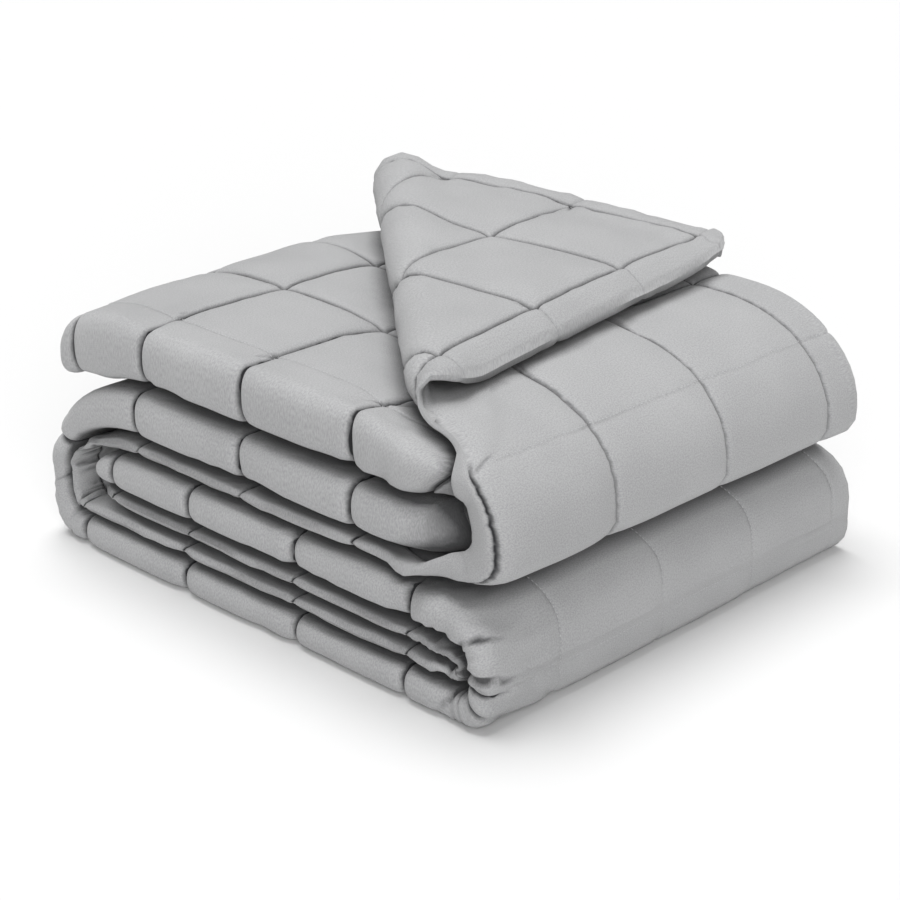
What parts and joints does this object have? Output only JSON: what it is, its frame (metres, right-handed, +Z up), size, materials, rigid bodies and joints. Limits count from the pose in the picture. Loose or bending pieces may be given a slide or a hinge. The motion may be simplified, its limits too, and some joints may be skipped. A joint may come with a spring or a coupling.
{
  "type": "folded weighted blanket",
  "caption": "Quilted weighted blanket folded in thirds and rolled up into a block, with one corner turned over.",
  "frame": {"origin": "bottom centre of the folded block's bounding box, on the surface it rests on", "axes": "+Z up; +Y from the two front bends to the free back ends, the longest way; +X along the front bends, towards the leaves' closed right edge"},
  "size_m": [0.3922, 0.4404, 0.2306],
  "materials": {
    "cloth": "plain weave microfibre, matt, neutral grey"
  },
  "bodies": {
    "root": {"blanket": "cloth"}
  },
  "joints": []
}
